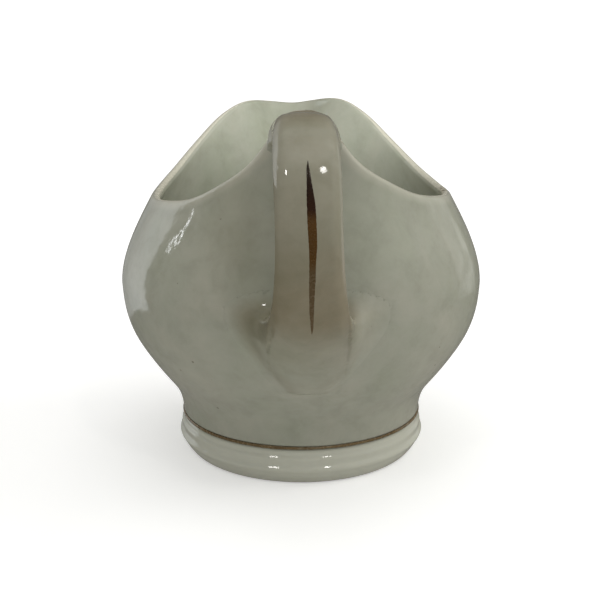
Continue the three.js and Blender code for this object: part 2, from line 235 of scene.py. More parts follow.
def strap_field(p, station=None):
    """About the distance outside the strap; a flattened section, a little crowned on the back."""
    shape = p.shape[:-1]
    q = p.reshape(-1, 3)
    k = nearest_station(q[:, 1:]) if station is None else station.reshape(-1)
    L, N, T = LINE[k], NORMAL[k], TANGENT[k]
    dy, dz = q[:, 1] - L[:, 0], q[:, 2] - L[:, 1]
    n = dy * N[:, 0] + dz * N[:, 1]
    along = np.abs(dy * T[:, 0] + dz * T[:, 1])
    along = np.where((k == 0) | (k == len(LINE) - 1), along, 0)
    x = q[:, 0] + L[:, 4]
    half, w = L[:, 2] / 2, L[:, 3]
    bend = ease((51 - q[:, 2]) / 9)
    n = n + np.where(n > 0, 2.0 + 1.5 * bend, 0.9 + 1.9 * bend) * (x / 9) ** 2
    r = np.minimum(half * 0.94, 2.3)
    dx, dn = np.abs(x) - (w - r), np.abs(n) - (half - r)
    d = np.hypot(np.maximum(dx, 0), np.maximum(dn, 0)) + np.minimum(np.maximum(dx, dn), 0) - r
    d = np.where(along > 0, np.hypot(np.maximum(d, 0), along) + np.minimum(d, 0), d)
    return d.reshape(shape)


def blend_width(p, out):
    z = p[..., 2]
    low = 4.6 + 4.9 * ease((z - 31) / 12)
    k = np.where(z < 62, low, 2.6)
    return k * ease((out + WALL / 2) / 0.9) + 1e-3


def joined_field(p, station=None):
    """The strap melted into the wall: the field, and how deep in the melt a point is."""
    out = outer_field(p)
    body, strap = shell_field(p, out), strap_field(p, station)
    k = blend_width(p, out)
    h = np.maximum(k - np.abs(body - strap), 0) / k
    return np.minimum(body, strap) - h * h * k / 4, h, out, body, strap, k


def handle_field(p, station=None):
    f, h, out, body, strap, k = joined_field(p, station)
    skin = f - 0.012 + 0.075 * ease((strap / k - 0.78) / 0.2)
    cut = np.maximum(-(out + 0.85), strap - k * 0.985)
    return np.maximum(skin, cut), skin, cut


def browning_with_painted_light(p, strap, k):
    """Browner glaze down the back of the strap, a stain; at the strap's crest the brown is a painted warm reflection,
    and the patch on the wall left of the strap is painted shade.
    """
    x, y, z = p[..., 0], p[..., 1], p[..., 2]
    # the rise above z 84 on the strap's crest is a painted warm reflection
    on = np.interp(z, [26, 33, 40, 48, 60, 68, 75, 79, 83, 84.5, 85.6, 87], [0.1, 0.25, 0.5, 0.9, 0.85, 0.65, 0.5, 0.42, 0.5, 0.75, 1.0, 1.0])
    on = on * ease((0.9 * k - strap) / (0.6 * k))
    on = on * (1 - 0.7 * ease((x - 7.5) / 4) * ease((60 - z) / 10))
    # painted shade: a browner patch on the wall left of the strap, where the handle shades it
    beside = 0.3 * np.exp(-(((x + 15) / 8) ** 2 + ((z - 60) / 15) ** 2)) * ease((-y - 20) / 15)
    return np.clip(on + beside * (1 - on), 0, 1)


def gradient(fun, p, e=0.02):
    g = np.empty_like(p)
    for i in range(3):
        d = np.zeros(3)
        d[i] = e
        g[:, i] = (fun(p + d) - fun(p - d)) / (2 * e)
    return g


def surface_nets(f, origin, step):
    """A closed quad mesh where the grid f changes sign."""
    nx, ny, nz = f.shape
    inside = f < 0
    c = np.zeros((nx - 1, ny - 1, nz - 1), int)
    for dx in (0, 1):
        for dy in (0, 1):
            for dz in (0, 1):
                c += inside[dx:nx - 1 + dx, dy:ny - 1 + dy, dz:nz - 1 + dz]
    cells = np.argwhere((c > 0) & (c < 8))
    index = np.full(c.shape, -1)
    index[tuple(cells.T)] = np.arange(len(cells))
    total, count = np.zeros((len(cells), 3)), np.zeros(len(cells))
    corners = [(dx, dy, dz) for dx in (0, 1) for dy in (0, 1) for dz in (0, 1)]
    for a in corners:
        for axis in range(3):
            if a[axis]:
                continue
            b = list(a)
            b[axis] = 1
            fa, fb = f[tuple((cells + a).T)], f[tuple((cells + b).T)]
            m = (fa < 0) != (fb < 0)
            t = fa[m] / (fa[m] - fb[m])
            q = np.tile(np.array(a, float), (m.sum(), 1))
            q[:, axis] = t
            total[m] += q
            count[m] += 1
    verts = origin + step * (cells + total / count[:, None])
    quads = []
    for axis in range(3):
        u, v = (axis + 1) % 3, (axis + 2) % 3
        sl0, sl1 = [slice(None)] * 3, [slice(None)] * 3
        sl0[axis], sl1[axis] = slice(0, -1), slice(1, None)
        change = inside[tuple(sl0)] != inside[tuple(sl1)]
        e = np.argwhere(change)
        e = e[(e[:, u] > 0) & (e[:, v] > 0) & (e[:, u] < f.shape[u] - 1) & (e[:, v] < f.shape[v] - 1)]
        ring = []
        for du, dv in ((-1, -1), (0, -1), (0, 0), (-1, 0)):
            q = e.copy()
            q[:, u] += du
            q[:, v] += dv
            ring.append(index[tuple(q.T)])
        ring = np.stack(ring, 1)
        flip = ~inside[tuple(e.T)]
        ring[flip] = ring[flip][:, ::-1]
        quads.append(ring)
    return verts, np.concatenate(quads)


# ------------------------------------------------------------------ Blender helpers
def new_mesh(name, verts_mm, quads, material, attributes=None, smooth=True):
    """A mesh object in the row frame; verts_mm are about the bowl's axis."""
    v = np.asarray(verts_mm, float) * 0.001
    v[:, 1] += SHIFT_Y * 0.001
    me = bpy.data.meshes.new(name)
    me.vertices.add(len(v))
    me.vertices.foreach_set("co", v.ravel())
    faces = [np.asarray(q) for q in quads]
    loops = np.concatenate([q.ravel() for q in faces])
    counts = np.concatenate([np.full(len(q), q.shape[1]) for q in faces])
    me.loops.add(len(loops))
    me.loops.foreach_set("vertex_index", loops)
    me.polygons.add(len(counts))
    me.polygons.foreach_set("loop_start", np.concatenate([[0], np.cumsum(counts)[:-1]]))
    me.update(calc_edges=True)
    for key, values in (attributes or {}).items():
        a = me.attributes.new(key, "FLOAT", "POINT")
        a.data.foreach_set("value", np.asarray(values, np.float32))
    me.polygons.foreach_set("use_smooth", [smooth] * len(counts))
    me.validate()
    me.materials.append(material)
    o = bpy.data.objects.new(name, me)
    bpy.context.scene.collection.objects.link(o)
    return o


def ring_quads(rows, cols, closed_rows=False):
    """Quads of a grid whose columns go round."""
    i = np.arange(rows if closed_rows else rows - 1)[:, None]
    j = np.arange(cols)[None, :]
    i1, j1 = (i + 1) % rows, (j + 1) % cols
    q = np.stack([i * cols + j, i * cols + j1, i1 * cols + j1, i1 * cols + j], -1)
    return q.reshape(-1, 4)


def resample(points, step=None, count=None):
    """Even steps along a smooth curve through the points."""
    p = np.asarray(points, float)
    chord = np.concatenate([[0], np.cumsum(np.linalg.norm(np.diff(p, axis=0), axis=1))])
    sx, sy = Spline(chord, p[:, 0]), Spline(chord, p[:, 1])
    fine = np.linspace(0, chord[-1], 2000)
    c = np.stack([sx(fine), sy(fine)], -1)
    arc = np.concatenate([[0], np.cumsum(np.linalg.norm(np.diff(c, axis=0), axis=1))])
    n = count or max(2, int(round(arc[-1] / step)) + 1)
    at = np.interp(np.linspace(0, arc[-1], n), arc, fine)
    return np.stack([sx(at), sy(at)], -1)


# ------------------------------------------------------------------ materials
def node(tree, kind, x=0, y=0, **values):
    n = tree.nodes.new(kind)
    n.location = (x, y)
    for key, value in values.items():
        if key in n.inputs:
            n.inputs[key].default_value = value
        else:
            setattr(n, key, value)
    return n


def start_material(name):
    m = bpy.data.materials.new(name)
    m.use_nodes = True
    t = m.node_tree
    t.nodes.clear()
    out = t.nodes.new("ShaderNodeOutputMaterial")
    bsdf = t.nodes.new("ShaderNodeBsdfPrincipled")
    t.links.new(bsdf.outputs[0], out.inputs[0])
    return m, t, bsdf


def ramp(tree, fac, stops, mode="LINEAR"):
    r = tree.nodes.new("ShaderNodeValToRGB")
    r.color_ramp.interpolation = mode
    while len(r.color_ramp.elements) < len(stops):
        r.color_ramp.elements.new(0.5)
    for e, (pos, colour) in zip(r.color_ramp.elements, stops):
        e.position = pos
        e.color = (*colour, 1) if len(colour) == 3 else colour
    tree.links.new(fac, r.inputs[0])
    return r.outputs[0]


def mix_colour(tree, fac, a, b):
    m = tree.nodes.new("ShaderNodeMix")
    m.data_type = "RGBA"
    for key, value in ((0, fac), (6, a), (7, b)):
        if isinstance(value, (tuple, list)):
            m.inputs[key].default_value = (*value, 1)
        elif isinstance(value, (int, float)):
            m.inputs[key].default_value = value
        else:
            tree.links.new(value, m.inputs[key])
    return m.outputs[2]


def maths(tree, op, a, b=None, clamp=False):
    m = tree.nodes.new("ShaderNodeMath")
    m.operation = op
    m.use_clamp = clamp
    for i, value in enumerate((a, b)):
        if value is None:
            continue
        if isinstance(value, (int, float)):
            m.inputs[i].default_value = value
        else:
            tree.links.new(value, m.inputs[i])
    return m.outputs[0]


def noise(tree, coords, scale, detail=3.0, rough=0.5, distortion=0.0):
    n = node(tree, "ShaderNodeTexNoise", Scale=scale, Detail=detail, Roughness=rough, Distortion=distortion)
    tree.links.new(coords, n.inputs["Vector"])
    return n.outputs["Fac"]


def attribute(tree, name):
    n = tree.nodes.new("ShaderNodeAttribute")
    n.attribute_name = name
    return n.outputs["Fac"]


def porcelain():
    m, t, b = start_material("glazed_porcelain")
    L = t.links.new
    pos = t.nodes.new("ShaderNodeTexCoord").outputs["Object"]
    cloud = noise(t, pos, 55, 4, 0.55, 0.4)
    tint = ramp(t, cloud, [(0.3, (0.375, 0.388, 0.305)), (0.5, (0.405, 0.41, 0.335)), (0.72, (0.445, 0.438, 0.362))])
    mottle = ramp(t, noise(t, pos, 170, 4, 0.65, 0.3), [(0.3, (0.9, 0.905, 0.89)), (0.5, (1, 1, 1)), (0.72, (1.06, 1.055, 1.06))])
    cloudy = node(t, "ShaderNodeMix")
    cloudy.data_type, cloudy.blend_type = "RGBA", "MULTIPLY"
    cloudy.inputs[0].default_value = 1.0
    L(tint, cloudy.inputs[6])
    L(mottle, cloudy.inputs[7])
    tint = cloudy.outputs[2]
    fine = noise(t, pos, 420, 3, 0.6)
    tint = mix_colour(t, maths(t, "MULTIPLY", maths(t, "SUBTRACT", fine, 0.42, True), 0.35), tint, (0.33, 0.312, 0.245))
    # iron specks in the paste
    v = node(t, "ShaderNodeTexVoronoi", Scale=230.0, Randomness=1.0)
    L(pos, v.inputs["Vector"])
    speck = maths(t, "LESS_THAN", v.outputs["Distance"], 0.075)
    rare = maths(t, "GREATER_THAN", noise(t, pos, 60, 2), 0.62)
    speck = maths(t, "MULTIPLY", maths(t, "MULTIPLY", speck, rare), 0.5)
    tint = mix_colour(t, speck, tint, (0.09, 0.075, 0.05))
    # painted shade: darker olive in the creases where the handle and the foot ring meet the bowl
    crease_shade = attribute(t, "crease_shade")
    shade_depth = maths(t, "MULTIPLY", crease_shade, ramp(t, noise(t, pos, 130, 3), [(0.25, (0.35, 0.35, 0.35)), (0.7, (1, 1, 1))]), True)
    tint = mix_colour(t, maths(t, "MULTIPLY", shade_depth, 0.75), tint, (0.155, 0.145, 0.085))
    # the edge of the rim is paler where the glaze runs thin over it; it is painted paler still on the handle side, a
    # painted highlight
    rim = attribute(t, "rim")
    thin = maths(t, "MULTIPLY", rim, ramp(t, noise(t, pos, 90, 3, 0.6), [(0.3, (0.6, 0.6, 0.6)), (0.7, (1, 1, 1))]), True)
    tint = mix_colour(t, maths(t, "MULTIPLY", thin, 0.75), tint, (0.66, 0.635, 0.53))
    # painted light: the outer face of the foot ring is painted paler, for the light it catches from the floor
    tint = mix_colour(t, maths(t, "MULTIPLY", attribute(t, "pale"), 0.8), tint, (0.7, 0.7, 0.6))
    # browner on the strap, a stain in the glaze; along the strap's crest the brown is a painted reflection, and on the
    # wall beside the strap it is painted shade
    iron = maths(t, "MULTIPLY", attribute(t, "browning_with_painted_light"), ramp(t, noise(t, pos, 70, 4, 0.6, 0.5), [(0.3, (0.72,) * 3), (0.65, (1, 1, 1))]), True)
    brown = node(t, "ShaderNodeMix")
    brown.data_type, brown.blend_type = "RGBA", "MULTIPLY"
    L(iron, brown.inputs[0])
    L(tint, brown.inputs[6])
    brown.inputs[7].default_value = (0.56, 0.47, 0.36, 1)
    tint = brown.outputs[2]
    # dry clay on the standing ring
    bare = attribute(t, "bare")
    grit = noise(t, pos, 900, 4, 0.7)
    clay = ramp(t, grit, [(0.3, (0.28, 0.25, 0.19)), (0.6, (0.5, 0.47, 0.39))])
    L(mix_colour(t, bare, tint, clay), b.inputs["Base Color"])
    smear = noise(t, pos, 75, 4, 0.6, 0.8)
    rough = ramp(t, smear, [(0.35, (0.055,) * 3), (0.6, (0.09,) * 3), (0.78, (0.17,) * 3)])
    L(maths(t, "ADD", rough, maths(t, "MULTIPLY", bare, 0.6), True), b.inputs["Roughness"])
    b.inputs["IOR"].default_value = 1.52
    b.inputs["Subsurface Weight"].default_value = 0.08
    b.inputs["Subsurface Radius"].default_value = (1.0, 0.85, 0.6)
    b.inputs["Subsurface Scale"].default_value = 0.0012
    # the glaze surface: long lazy swells, orange peel, pinholes
    swell = noise(t, pos, 105, 3, 0.5)
    peel = noise(t, pos, 520, 2, 0.5)
    pin = node(t, "ShaderNodeTexVoronoi", Scale=310.0, Randomness=1.0)
    L(pos, pin.inputs["Vector"])
    hole = ramp(t, pin.outputs["Distance"], [(0.0, (0, 0, 0)), (0.09, (1, 1, 1))])
    hole = maths(t, "MAXIMUM", hole, maths(t, "LESS_THAN", noise(t, pos, 47, 2), 0.6))
    bump1 = node(t, "ShaderNodeBump", Strength=0.7, Distance=0.0003)
    L(swell, bump1.inputs["Height"])
    bump2 = node(t, "ShaderNodeBump", Strength=0.22, Distance=0.00003)
    L(peel, bump2.inputs["Height"])
    L(bump1.outputs[0], bump2.inputs["Normal"])
    bump3 = node(t, "ShaderNodeBump", Strength=0.35, Distance=0.00006)
    L(maths(t, "ADD", hole, maths(t, "MULTIPLY", maths(t, "MULTIPLY", grit, bare), 0.8)), bump3.inputs["Height"])
    L(bump2.outputs[0], bump3.inputs["Normal"])
    L(bump3.outputs[0], b.inputs["Normal"])
    return m


def gilding(name, kind):
    """Burnished gold, rubbed thin and gone brown; on the stroke, the bands of tone up its height are a painted
    reflection. kind: stroke, foot or rim.
    """
    m, t, b = start_material(name)
    L = t.links.new
    pos = t.nodes.new("ShaderNodeTexCoord").outputs["Object"]
    sep = t.nodes.new("ShaderNodeSeparateXYZ")
    L(pos, sep.inputs[0])
    glaze = (0.37, 0.375, 0.305)
    grain = noise(t, pos, 1500, 3, 0.6)
    patch = noise(t, pos, 260, 4, 0.62, 0.5)
    if kind == "stroke":
        # painted reflection: the stroke's tone is set by height, darkest high up, red-brown in the middle, muddy brown
        # low down; the brown itself is the gold's tarnish
        h = maths(t, "MULTIPLY", maths(t, "SUBTRACT", sep.outputs[2], 0.045), 1 / 0.033)
        h = maths(t, "ADD", h, maths(t, "MULTIPLY", maths(t, "SUBTRACT", patch, 0.5), 0.06))
        gold = ramp(t, h, [(0.0, (0.135, 0.092, 0.046)), (0.38, (0.125, 0.082, 0.036)), (0.46, (0.1, 0.046, 0.006)),
                           (0.68, (0.104, 0.047, 0.008)), (0.74, (0.034, 0.009, 0.001)), (0.87, (0.02, 0.006, 0.001)),
                           (1.0, (0.03, 0.022, 0.012))])
        worn = ramp(t, patch, [(0.55, (0, 0, 0)), (0.72, (0.4, 0.4, 0.4))])
        low = maths(t, "SUBTRACT", 1.0, maths(t, "MULTIPLY", h, 2.2), True)
        wear = maths(t, "MULTIPLY", worn, low)
        metal = 0.22
    elif kind == "foot":
        gold = ramp(t, patch, [(0.3, (0.155, 0.105, 0.05)), (0.55, (0.215, 0.15, 0.074)), (0.8, (0.3, 0.22, 0.12))])
        wear = ramp(t, noise(t, pos, 120, 4, 0.6, 0.6), [(0.55, (0, 0, 0)), (0.75, (0.5, 0.5, 0.5))])
        metal = 0.2
    else:
        gold = ramp(t, patch, [(0.3, (0.1, 0.075, 0.03)), (0.7, (0.23, 0.17, 0.075))])
        keep = attribute(t, "kept")
        crumbs = ramp(t, noise(t, pos, 230, 3, 0.5, 0.6), [(0.36, (0, 0, 0)), (0.58, (1, 1, 1))])
        wear = maths(t, "SUBTRACT", 1.0, maths(t, "MULTIPLY", keep, crumbs), True)
        metal = 0.5
        metal = 0.25
        glaze = (0.6, 0.575, 0.475)
    L(mix_colour(t, wear, gold, glaze), b.inputs["Base Color"])
    L(maths(t, "MULTIPLY", maths(t, "SUBTRACT", 1.0, wear, True), metal), b.inputs["Metallic"])
    L(ramp(t, grain, [(0.3, (0.16,) * 3), (0.7, (0.34,) * 3)]), b.inputs["Roughness"])
    bump = node(t, "ShaderNodeBump", Strength=0.25, Distance=0.00002)
    L(grain, bump.inputs["Height"])
    L(bump.outputs[0], b.inputs["Normal"])
    return m


PORCELAIN = porcelain()

# ------------------------------------------------------------------ the bowl
COLS = 420
_a = np.linspace(0, 360, 14401)
_w = 1 + 1.9 * ease((31 - np.abs(_a - 181)) / 12) + 0.7 * ease((34 - np.minimum(_a, 360 - _a)) / 14)
_c = np.concatenate([[0], np.cumsum((_w[1:] + _w[:-1]) / 2)])
ANGLE = np.interp(np.arange(COLS) / COLS * _c[-1], _c, _a)
TURN = np.radians(ANGLE)


def circle(r, z):
    return np.stack([r * np.sin(TURN), r * np.cos(TURN), np.full(COLS, float(z))], -1)


def build_bowl():
    rows, rim = [], []
    top, slope = rim_z(ANGLE), rim_slope(ANGLE)

    def add(points, near_rim=0.0):
        rows.append(points)
        # painted highlight: the pale rim tint is made strongest on the handle side (-Y) and weak towards the lip
        rim.append(near_rim * (0.15 + 0.85 * ease((14 - points[:, 1]) / 24)))
    for r in (0.6, 4, 8, 12, 16, 20, 23, 24.6):
        add(circle(r, 8.93))
    for r, z in ((25.2, 9.1), (25.7, 9.45), (27, 9.55), (29, 9.55), (30.0, 9.56), (30.45, 9.64), (30.72, 9.86)):
        add(circle(r + SKIN, z))
    edge = WALL / 2 / slope                      # height of the start of the rounded rim below its crest
    curve = resample([(lower_r(z), z) for z in (10.25, 11.5, 14, 17, 21, 26, 32, 38, 44)], step=0.8)
    for r, z in curve[:-1]:
        add(wall_point(ANGLE, np.full(COLS, z)))
    UP = 46
    for i in range(UP + 1):
        v = i / UP
        v = v - 0.06 * math.sin(2 * math.pi * v) * 0.5
        z = BELLY_Z + v * (top - edge - BELLY_Z)
        add(wall_point(ANGLE, z), ease(1 - (top - edge - z) * slope / 1.6) * 0.55)
    for i in range(1, 12):
        f = math.pi * i / 12
        z = top - edge * (1 - math.sin(f))
        mid = wall_point(ANGLE, np.minimum(z, top - 0.02), -WALL / 2 + WALL / 2 * math.cos(f) + 0 * z)
        mid[:, 2] += np.maximum(z - (top - 0.02), 0)
        add(mid, 0.55 + 0.45 * math.sin(f))
    for i in range(UP + 1):
        v = 1 - i / UP
        v = v - 0.06 * math.sin(2 * math.pi * v) * 0.5
        z = BELLY_Z + v * (top - edge - BELLY_Z)
        add(wall_point(ANGLE, z, -WALL + 0 * z), ease(1 - (top - edge - z) * slope / 1.6) * 0.55)
    inner = []
    for z in (44, 40, 36, 32, 28, 24, 21.5):
        e = 0.2
        s = (lower_r(z + e) - lower_r(z - e)) / (2 * e)
        t = WALL + (44 - z) * 0.022
        inner.append((float(lower_r(z) + SKIN - t / math.hypot(1, s)), z + t * s / math.hypot(1, s)))
    curve = resample(inner + INSIDE, step=0.95)
    for r, z in curve[1:-1]:
        add(circle(r, z))
    P = np.concatenate(rows)
    d = unevenness(P)
    deg = np.degrees(np.arctan2(P[:, 0], P[:, 1]))
    rho = np.hypot(P[:, 0], P[:, 1])
    radial = np.stack([P[:, 0] / rho, P[:, 1] / rho, 0 * rho], -1)
    P = P + radial * (d * ease((rho - 24) / 8))[:, None]
    n = len(rows)
    q = ring_quads(n, COLS)
    first, last = len(P), len(P) + 1
    P = np.vstack([P, [0, 0, 8.93], [0, 0, curve[-1][1]]])
    j = np.arange(COLS)
    fan0 = np.stack([np.full(COLS, first), (j + 1) % COLS, j], -1)
    base = (n - 1) * COLS
    fan1 = np.stack([base + j, base + (j + 1) % COLS, np.full(COLS, last)], -1)
    near = np.concatenate(rim + [[0, 0]])
    zeros = np.zeros(len(P))
    # on the bowl only the painted shade left of the strap remains
    brown = browning_with_painted_light(P, zeros + 9, zeros + 1)
    return new_mesh("porcelain_bowl", P, [q, fan0, fan1], PORCELAIN, {"rim": near, "crease_shade": zeros, "bare": zeros, "browning_with_painted_light": brown, "pale": zeros})


bowl = build_bowl()


# ------------------------------------------------------------------ the foot ring
def build_foot():
    outer = resample(FOOT, step=0.2)
    inner = resample(FOOT_INNER, step=0.42)
    flat = [(28.3, 0.0), (27.8, 0.0), (27.4, 0.0)]
    under = [(r, 9.2) for r in (28.6, 27.6, 26.6)]
    profile = [tuple(p) for p in outer] + under + [tuple(p) for p in inner] + flat[::-1]
    rows, bare = [], []
    for r, z in profile:
        rows.append(circle(r + SKIN * (1 if r > 28 else 0), max(z, 0.0)))
        bare.append(np.full(COLS, float(ease((0.75 - z) / 0.5)) if 26 < r < 29.6 and z < 1 else 0.0))
    P = np.concatenate(rows)
    q = ring_quads(len(rows), COLS, True)
    zero = np.zeros(len(P))
    z = P[:, 2]
    # painted shade in the groove at the top of the foot ring, under the bowl's edge
    crease_shade = ease((z - 8.6) / 0.6) * 0.3
    # painted light: paler over the outer face of the foot ring, fading out at its top
    pale = ease((9.3 - z) / 1.2) * ease((np.hypot(P[:, 0], P[:, 1]) - 27) / 2)
    return new_mesh("porcelain_foot_ring", P, [q], PORCELAIN, {"rim": zero, "crease_shade": crease_shade, "bare": np.concatenate(bare), "browning_with_painted_light": zero, "pale": pale})


foot = build_foot()


# ------------------------------------------------------------------ the strap handle, melted into the wall at both ends
def build_handle():
    step = 0.42
    lo, hi = np.array([-19.5, -65.5, 20.5]), np.array([19.0, -33.0, 88.0])
    n = np.ceil((hi - lo) / step).astype(int) + 1
    ax = [lo[i] + step * np.arange(n[i]) for i in range(3)]
    Y, Z = np.meshgrid(ax[1], ax[2], indexing="ij")
    station = nearest_station(np.stack([Y.ravel(), Z.ravel()], -1)).reshape(Y.shape)
    F = np.empty(n)
    for i, x in enumerate(ax[0]):
        p = np.stack([np.full(Y.shape, x), Y, Z], -1)
        F[i] = handle_field(p, station)[0]
    V, Q = surface_nets(F, lo, step)
    a, b = np.concatenate([Q[:, 0], Q[:, 1], Q[:, 2], Q[:, 3]]), np.concatenate([Q[:, 1], Q[:, 2], Q[:, 3], Q[:, 0]])

    def skin(p):
        return handle_field(p)[1]

    def settle(V, passes):
        for _ in range(passes):
            full, s, cut = handle_field(V)
            free = s > cut - 0.05
            g = gradient(skin, V[free])
            V[free] -= g * (s[free] / np.maximum((g * g).sum(1), 0.2))[:, None]
        return V
    V = settle(V, 2)
    for _ in range(5):
        total, count = np.zeros_like(V), np.zeros(len(V))
        np.add.at(total, a, V[b])
        np.add.at(count, a, 1)
        np.add.at(total, b, V[a])
        np.add.at(count, b, 1)
        full, s, cut = handle_field(V)
        free = s > cut + 0.25
        move = (total / count[:, None] - V)[free]
        g = gradient(skin, V[free])
        g /= np.linalg.norm(g, axis=1, keepdims=True)
        V[free] += 0.6 * (move - g * (move * g).sum(1, keepdims=True))
        V = settle(V, 1)
    V = settle(V, 1)
    f, h, out, body, strap, k = joined_field(V)
    low = ease((60 - V[:, 2]) / 10)
    left = 0.06 + 0.94 * ease((1 - V[:, 0]) / 7)
    # painted shade in the melt of the joints, strongest low on the strap's left, the side away from the light
    crease_shade = ease((h - 0.55) / 0.45) * (low * left * 0.6 + (1 - low) * 0.35)
    zero = np.zeros(len(V))
    return new_mesh("porcelain_strap_handle", V, [Q], PORCELAIN, {"rim": zero, "crease_shade": crease_shade, "bare": zero, "browning_with_painted_light": browning_with_painted_light(V, strap, k), "pale": zero})


handle = build_handle()


# ------------------------------------------------------------------ gilding
def settle_on_joined(P, passes=4):
    for _ in range(passes):
        fun = lambda q: joined_field(q)[0]
        f = fun(P)
        g = gradient(fun, P)
        P = P - g * (f / np.maximum((g * g).sum(1), 0.2))[:, None]
    g = gradient(lambda q: joined_field(q)[0], P)
    return P, g / np.linalg.norm(g, axis=1, keepdims=True)


def build_stroke():
    left, right = Spline(column(STROKE[::-1], 0), column(STROKE[::-1], 1)), Spline(column(STROKE[::-1], 0), column(STROKE[::-1], 2))
    back = LINE[:, :2] + NORMAL * LINE[:, 2:3] / 2
    far = (STATION > 3.2) & (STATION < 11)
    order = np.argsort(back[far, 1])
    zs = np.linspace(45.3, 77.9, 150)
    y = np.interp(zs, back[far, 1][order], back[far, 0][order])
    lean = np.interp(zs, back[far, 1][order], LINE[far, 4][order])
    A = 13
    u = np.linspace(0, 1, A)
    jitter = np.interp(zs, np.linspace(45, 78, 90), np.random.default_rng(3).normal(0, 0.018, 90))
    xl, xr = left(zs) + jitter, right(zs) + np.roll(jitter, 37)
    trim = 0.06 * ease((60 - zs) / 8) * (xr - xl)
    xl, xr = xl + trim, xr - trim
    X = xl[:, None] + (xr - xl)[:, None] * u[None, :] - lean[:, None]
    P = np.stack([X, np.broadcast_to(y[:, None], X.shape), np.broadcast_to(zs[:, None], X.shape)], -1).reshape(-1, 3)
    P, N = settle_on_joined(P)
    dome = (1 - (2 * u - 1) ** 4)[None, :] * np.minimum(1, np.minimum(zs - 45.3, 77.9 - zs) / 1.2)[:, None]
    top = P + N * (0.012 + 0.05 * dome.reshape(-1, 1))
    low = P - N * 0.03
    R = len(zs)
    V = np.concatenate([top, low])
    i, j = np.meshgrid(np.arange(R - 1), np.arange(A - 1), indexing="ij")
    q = np.stack([i * A + j, i * A + j + 1, (i + 1) * A + j + 1, (i + 1) * A + j], -1).reshape(-1, 4)
    o = R * A
    qb = q[:, ::-1] + o
    sides = []
    border = [(r * A) for r in range(R)]
    loop = [c for c in range(A)] + [r * A + A - 1 for r in range(1, R)] + [(R - 1) * A + c for c in range(A - 2, -1, -1)] + [r * A for r in range(R - 2, 0, -1)]
    for a, b in zip(loop, loop[1:] + loop[:1]):
        sides.append((b, a, a + o, b + o))
    return new_mesh("gilt_stroke_on_handle", V, [q, qb, np.array(sides)], gilding("worn_gilding_stroke", "stroke"))


stroke = build_stroke()


def build_foot_line():
    rngl = np.random.default_rng(11)
    k = np.arange(1, 30)
    amp, ph = rngl.normal(0, 1, 29) / k**0.6, rngl.uniform(0, 6.28, 29)
    wob = sum(a * np.cos(i * TURN + f) for i, a, f in zip(k, amp, ph))
    wob /= np.abs(wob).max()
    half = 0.36 + 0.09 * wob
    rows = []
    M = 14
    for i in range(M):
        f = 2 * math.pi * i / M
        r = 30.8 + 0.24 * math.copysign(abs(math.cos(f)) ** 0.7, math.cos(f))
        z = 9.5 + half * math.sin(f) + 0.03 * np.roll(wob, 60)
        rows.append(np.stack([r * np.sin(TURN), r * np.cos(TURN), z], -1))
    P = np.concatenate(rows)
    return new_mesh("gilt_line_round_foot", P, [ring_quads(M, COLS, True)], gilding("worn_gilding_foot", "foot"))


foot_line = build_foot_line()


def build_rim_line():
    """What is left of the gold on the edge of the rim: a film that follows the crest."""
    top, slope = rim_z(ANGLE), rim_slope(ANGLE)
    edge = WALL / 2 / slope
    rows, kept = [], []
    lean = [50, 60, 70, 80, 90, 100, 110, 120, 130]
    s = np.abs(signed(ANGLE))
    a = signed(ANGLE)
    keep = 0.03 + 0.8 * ease((11 - np.abs(a - 92)) / 8) + 0.85 * ease((9 - np.abs(a - 174)) / 6) + 0.12 * ease((12 - np.abs(a + 128)) / 8)
    for side, lift in ((1, 0.012), (-1, -0.03)):
        for d in (lean if side == 1 else lean[::-1]):
            f = math.radians(d)
            z = top - edge * (1 - math.sin(f))
            fall = 1 - (abs(d - 90) / 40) ** 2
            p = wall_point(ANGLE, np.minimum(z, top - 0.02), -WALL / 2 + (WALL / 2 + lift) * math.cos(f) + 0 * z)
            p[:, 2] += np.maximum(z - (top - 0.02), 0) + lift * math.sin(f)
            rho = np.hypot(p[:, 0], p[:, 1])
            p[:, :2] *= (1 + unevenness(p) / rho)[:, None]
            rows.append(p)
            kept.append(keep * (0.35 + 0.65 * fall))
    P = np.concatenate(rows)
    return new_mesh("gilt_traces_on_rim", P, [ring_quads(len(rows), COLS, True)[:, ::-1]], gilding("worn_gilding_rim", "rim"), {"kept": np.clip(np.concatenate(kept), 0, 1)})


rim_line = build_rim_line()

# ------------------------------------------------------------------ pieces and the frame
for piece, nodes, slot in (
    (bowl, ("bowl_with_lip",), "glazed_porcelain"),
    (foot, ("foot_ring", "foot_slip_joint"), "glazed_porcelain"),
    (handle, ("strap_handle", "handle_rim_slip_joint", "handle_belly_slip_joint"), "glazed_porcelain"),
    (stroke, ("gilt_handle_stroke",), "worn_gilding"),
    (foot_line, ("gilt_foot_line",), "worn_gilding"),
    (rim_line, ("gilt_rim_line",), "worn_gilding"),
):
    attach(piece, "root")
    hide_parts(*nodes)


